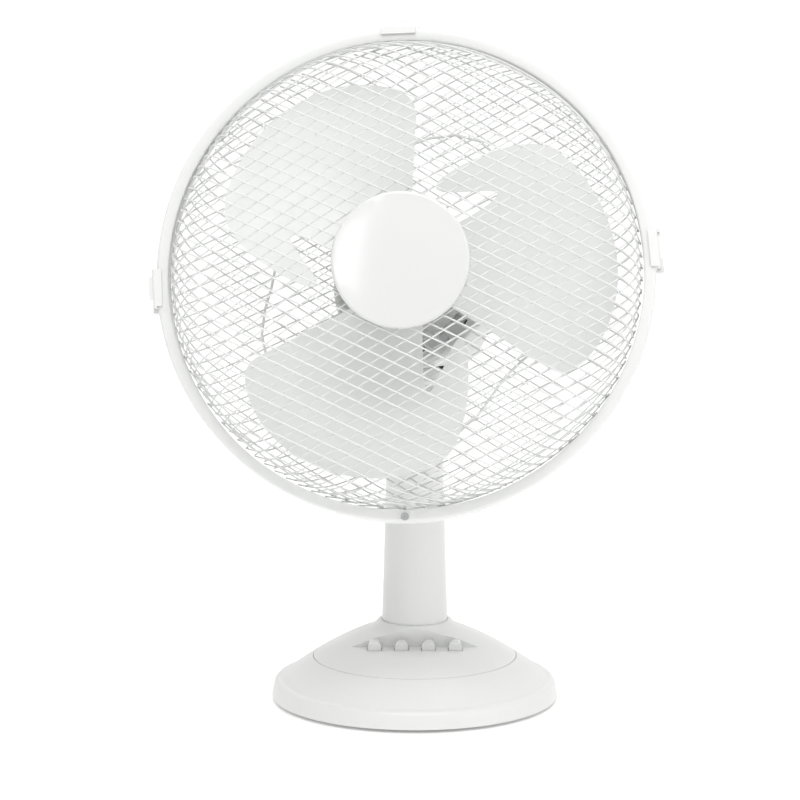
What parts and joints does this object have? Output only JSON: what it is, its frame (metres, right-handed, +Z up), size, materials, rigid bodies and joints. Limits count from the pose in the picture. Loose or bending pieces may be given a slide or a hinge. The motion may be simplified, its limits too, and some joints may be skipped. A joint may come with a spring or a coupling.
{
  "type": "desk fan",
  "caption": "Oscillating table fan: round domed base with push buttons, round column, tilting and panning motor head, and a wire-mesh cage round broad blades.",
  "frame": {"origin": "middle of the base's foot ring, on the ground", "axes": "+Z up, the fan faces -Y, +X to the right of someone standing in front of it"},
  "size_m": [0.357, 0.2598, 0.4917],
  "materials": {
    "white_shell": "semi-gloss moulded plastic",
    "white_gloss": "polished moulded plastic",
    "blade_plastic": "satin moulded plastic",
    "white_wire": "white powder-coated steel wire",
    "motor_shell": "fine-grained moulded plastic",
    "inner_plastic": "plain moulded plastic",
    "dark_plastic": "black moulded plastic",
    "rubber": "soft rubber",
    "steel": "zinc-plated steel",
    "aluminium": "die-cast aluminium",
    "core_steel": "stacked laminations",
    "cast_iron": "rough casting",
    "copper": "enamelled copper wire",
    "bronze": "sintered bronze",
    "nylon": "natural nylon"
  },
  "bodies": {
    "base": {"base_shell": "white_shell", "control_cover": "white_shell", "base_plate": "inner_plastic", "base_screws": "steel", "foot_ring": "rubber", "ballast_weight": "cast_iron", "column_socket": "inner_plastic", "switch_block": "dark_plastic", "motor_capacitor": "dark_plastic", "cord_inlet": "dark_plastic", "column_tube": "white_shell", "column_yoke": "white_shell", "tilt_bolt": "steel", "tilt_nut": "steel"},
    "button_off": {"button_off": "white_gloss"},
    "button_1": {"button_1": "white_gloss"},
    "button_2": {"button_2": "white_gloss"},
    "button_3": {"button_3": "white_gloss"},
    "neck": {"neck_knuckle": "white_shell", "pivot_post": "steel", "post_circlip": "steel", "thrust_washer": "nylon"},
    "head": {"motor_front_bell": "aluminium", "motor_rear_bell": "aluminium", "stator_core": "core_steel", "stator_windings": "copper", "shaft_bearings": "bronze", "motor_bolts": "steel", "motor_front_cover": "motor_shell", "motor_rear_cover": "motor_shell", "cover_screw": "steel", "gearbox_case": "inner_plastic", "gearbox_lid": "inner_plastic", "gearbox_screws": "steel", "front_mesh_face": "white_wire", "front_mesh_rim": "white_wire", "rear_mesh_face": "white_wire", "rear_mesh_rim": "white_wire", "front_rim_wire": "white_wire", "rear_rim_wire": "white_wire", "rear_brace_wire": "white_wire", "rear_grille_plate": "white_wire", "grille_nut": "blade_plastic", "rim_band": "white_shell", "lock_screw": "steel", "lock_nut": "steel", "centre_cap": "white_gloss", "cap_plate": "white_wire"},
    "rotor": {"rotor_cage": "core_steel", "motor_shaft": "steel", "impeller": "blade_plastic", "drive_pin": "steel", "blade_nut": "blade_plastic"},
    "wheel": {"worm_wheel": "nylon"},
    "crank": {"crank_gear": "nylon"},
    "link": {"link_arm": "steel"},
    "knob": {"clutch_knob": "white_gloss"},
    "clip_right": {"clip_right": "white_shell"},
    "clip_left": {"clip_left": "white_shell"},
    "clip_top": {"clip_top": "white_shell"}
  },
  "joints": [
    {"name": "tilt", "type": "hinge", "parent": "base", "child": "neck", "pos_m": [0, 0, 0.215], "axis": [-1, 0, 0], "range_deg": [-29, 3]},
    {"name": "pan", "type": "hinge", "parent": "neck", "child": "head", "pos_m": [0, 0.0228, 0.28959], "axis": [0, 0.2924, 0.9563], "range_deg": [-31, 38]},
    {"name": "fan_spin", "type": "hinge", "parent": "head", "child": "rotor", "pos_m": [0, 0.0228, 0.28959], "axis": [-0.068, -0.9541, 0.2917], "continuous": true},
    {"name": "worm_wheel_turn", "type": "hinge", "parent": "head", "child": "wheel", "pos_m": [-0.01691, 0.03158, 0.28691], "axis": [0, 0.2924, 0.9563], "continuous": true},
    {"name": "crank_turn", "type": "hinge", "parent": "head", "child": "crank", "pos_m": [-0.01144, 0.04997, 0.28129], "axis": [0, 0.2924, 0.9563], "continuous": true},
    {"name": "link_swing", "type": "hinge", "parent": "neck", "child": "link", "pos_m": [-0.01334, 0.01111, 0.25134], "axis": [0, 0.2924, 0.9563], "range_deg": [-34, 41]},
    {"name": "clutch_pull", "type": "slide", "parent": "head", "child": "knob", "axis": [0, 0.2924, 0.9563], "range_m": [0, 0.006]},
    {"name": "button_off_press", "type": "slide", "parent": "base", "child": "button_off", "axis": [0, 0, -1], "range_m": [0, 0.004], "stiffness_N_per_m": 250, "springref_m": -0.004},
    {"name": "button_1_press", "type": "slide", "parent": "base", "child": "button_1", "axis": [0, 0, -1], "range_m": [0, 0.004], "stiffness_N_per_m": 250, "springref_m": -0.004},
    {"name": "button_2_press", "type": "slide", "parent": "base", "child": "button_2", "axis": [0, 0, -1], "range_m": [0, 0.004], "stiffness_N_per_m": 250, "springref_m": -0.004},
    {"name": "button_3_press", "type": "slide", "parent": "base", "child": "button_3", "axis": [0, 0, -1], "range_m": [0, 0.004], "stiffness_N_per_m": 250, "springref_m": -0.004},
    {"name": "clip_right_open", "type": "hinge", "parent": "head", "child": "clip_right", "pos_m": [0.16855, -0.0694, 0.33379], "axis": [-0.087, 0.2969, 0.9509], "range_deg": [0, 100]},
    {"name": "clip_left_open", "type": "hinge", "parent": "head", "child": "clip_left", "pos_m": [-0.18113, -0.05377, 0.30339], "axis": [0.0522, -0.2954, -0.954], "range_deg": [0, 100]},
    {"name": "clip_top_open", "type": "hinge", "parent": "head", "child": "clip_top", "pos_m": [-0.01067, -0.01084, 0.48354], "axis": [-0.9973, 0.0574, -0.0449], "range_deg": [0, 100]}
  ],
  "couplings": [
    {"joint": "worm_wheel_turn", "follows": "fan_spin", "ratio": 0.027778},
    {"joint": "crank_turn", "follows": "fan_spin", "ratio": -0.0060976},
    {"joint": "link_swing", "follows": "pan", "ratio": 1}
  ]
}
